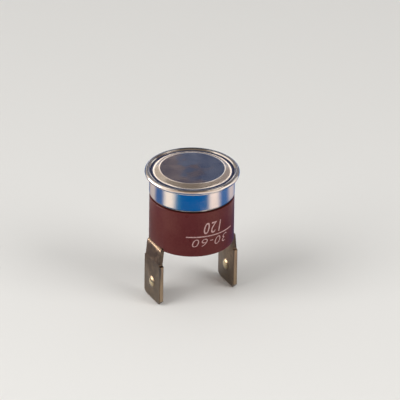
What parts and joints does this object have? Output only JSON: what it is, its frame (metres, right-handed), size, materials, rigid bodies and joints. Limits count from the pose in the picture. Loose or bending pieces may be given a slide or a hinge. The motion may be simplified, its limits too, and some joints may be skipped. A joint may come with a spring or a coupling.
{
  "type": "washing machine thermostat",
  "caption": "Bimetal snap-disc thermostat: crimped steel cap with folded rim on a round phenolic housing, bent-down quick-connect tabs, contact mechanism inside.",
  "frame": {"origin": "on the plane of the tab tips, under the axis of the housing", "axes": "+Z along the housing's axis to the sensing face, +X to the moving contact's tab, -X to the fixed contact's tab"},
  "size_m": [0.0172, 0.0172, 0.0252],
  "materials": {
    "plated_steel": "bright plated",
    "phenolic": "semi-gloss moulded",
    "tab_brass": "tinned, dulled",
    "rivet_brass": "bright",
    "bracket_brass": "stamped",
    "bimetal": "rolled",
    "guide_phenolic": "matt moulded",
    "pin_ceramic": "ground",
    "spring_bronze": "rolled",
    "contact_silver": "satin"
  },
  "bodies": {
    "case": {"cap": "plated_steel", "housing": "phenolic", "fixed_terminal": "tab_brass", "moving_terminal": "tab_brass", "bimetal_disc": "bimetal", "guide_plate": "guide_phenolic", "contact_bracket": "bracket_brass", "fixed_contact": "contact_silver", "clamp_plate": "bracket_brass", "fixed_rivet": "rivet_brass", "moving_rivet": "rivet_brass"},
    "pin": {"transfer_pin": "pin_ceramic"},
    "arm": {"contact_arm": "spring_bronze", "moving_contact": "contact_silver"}
  },
  "joints": [
    {"name": "pin_travel", "type": "slide", "parent": "case", "child": "pin", "axis": [0, 0, -1], "range_m": [0, 0.00035], "deforming": ["bimetal_disc"]},
    {"name": "arm_flex", "type": "hinge", "parent": "case", "child": "arm", "pos_m": [0.0027, 0, 0.0167], "axis": [0, -1, 0], "range_deg": [0, 7.5], "stiffness_Nm_per_rad": 0.015, "springref_deg": -5.73, "deforming": ["contact_arm"]}
  ],
  "couplings": [
    {"joint": "arm_flex", "follows": "pin_travel", "rad_per_m": 370.37}
  ]
}
